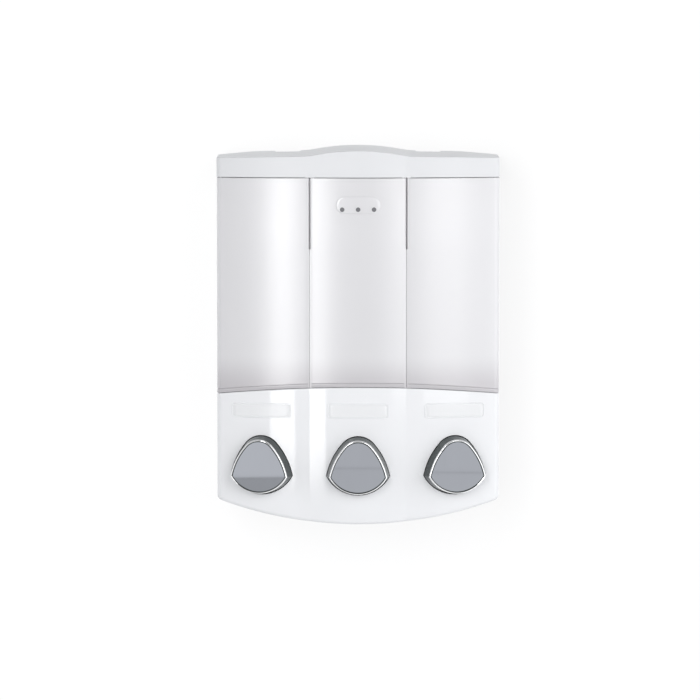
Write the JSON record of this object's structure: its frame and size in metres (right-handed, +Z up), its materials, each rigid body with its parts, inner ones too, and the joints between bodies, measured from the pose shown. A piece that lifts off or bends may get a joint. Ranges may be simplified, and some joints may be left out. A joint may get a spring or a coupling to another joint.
{
  "type": "wall mounted soap dispenser",
  "caption": "Wall mounted soap dispenser with side by side frosted tanks, a hinged lid and chrome push buttons on a curved white housing.",
  "frame": {"origin": "middle of the back panel's face that lies on the wall", "axes": "+X to the right seen from the front, +Y into the wall, +Z up"},
  "size_m": [0.19, 0.088, 0.2526],
  "materials": {
    "white_plastic": "gloss",
    "frosted_plastic": "satin translucent",
    "chrome": "mirror",
    "steel": "satin",
    "pump_plastic": "matte",
    "silicone": "matte",
    "label": "satin",
    "dark_trim": "gloss",
    "foam": "matte"
  },
  "bodies": {
    "housing": {"back_panel": "white_plastic", "base_housing": "white_plastic", "pump_tray": "pump_plastic", "tank_left": "frosted_plastic", "tank_center": "frosted_plastic", "tank_right": "frosted_plastic", "hinge_pin_left": "steel", "hinge_pin_right": "steel", "pump_body_left": "pump_plastic", "pump_body_center": "pump_plastic", "pump_body_right": "pump_plastic", "pump_cap_left": "pump_plastic", "pump_cap_center": "pump_plastic", "pump_cap_right": "pump_plastic", "return_spring_left": "steel", "return_spring_center": "steel", "return_spring_right": "steel", "inlet_valve_left": "silicone", "inlet_valve_center": "silicone", "inlet_valve_right": "silicone", "inlet_grommet_left": "silicone", "inlet_grommet_center": "silicone", "inlet_grommet_right": "silicone", "outlet_valve_left": "silicone", "outlet_valve_center": "silicone", "outlet_valve_right": "silicone", "nozzle_left": "pump_plastic", "nozzle_center": "pump_plastic", "nozzle_right": "pump_plastic", "label_plate_left": "label", "label_plate_center": "label", "label_plate_right": "label", "badge": "label", "badge_dots": "dark_trim", "tray_screws": "steel", "housing_screws": "steel", "tape_pads": "foam"},
    "lid": {"lid": "white_plastic"},
    "button_left": {"button_left": "chrome", "piston_left": "pump_plastic", "piston_seal_left": "silicone"},
    "button_center": {"button_center": "chrome", "piston_center": "pump_plastic", "piston_seal_center": "silicone"},
    "button_right": {"button_right": "chrome", "piston_right": "pump_plastic", "piston_seal_right": "silicone"}
  },
  "joints": [
    {"name": "lid_hinge", "type": "hinge", "parent": "housing", "child": "lid", "pos_m": [0, -0.014, 0.114], "axis": [-1, 0, 0], "range_deg": [0, 90]},
    {"name": "button_left_press", "type": "slide", "parent": "housing", "child": "button_left", "axis": [0.2138, 0.9769, 0], "range_m": [0, 0.006], "stiffness_N_per_m": 400, "springref_m": -0.004, "deforming": ["return_spring_left"]},
    {"name": "button_center_press", "type": "slide", "parent": "housing", "child": "button_center", "axis": [0, 1, 0], "range_m": [0, 0.006], "stiffness_N_per_m": 400, "springref_m": -0.004, "deforming": ["return_spring_center"]},
    {"name": "button_right_press", "type": "slide", "parent": "housing", "child": "button_right", "axis": [-0.2138, 0.9769, 0], "range_m": [0, 0.006], "stiffness_N_per_m": 400, "springref_m": -0.004, "deforming": ["return_spring_right"]}
  ]
}
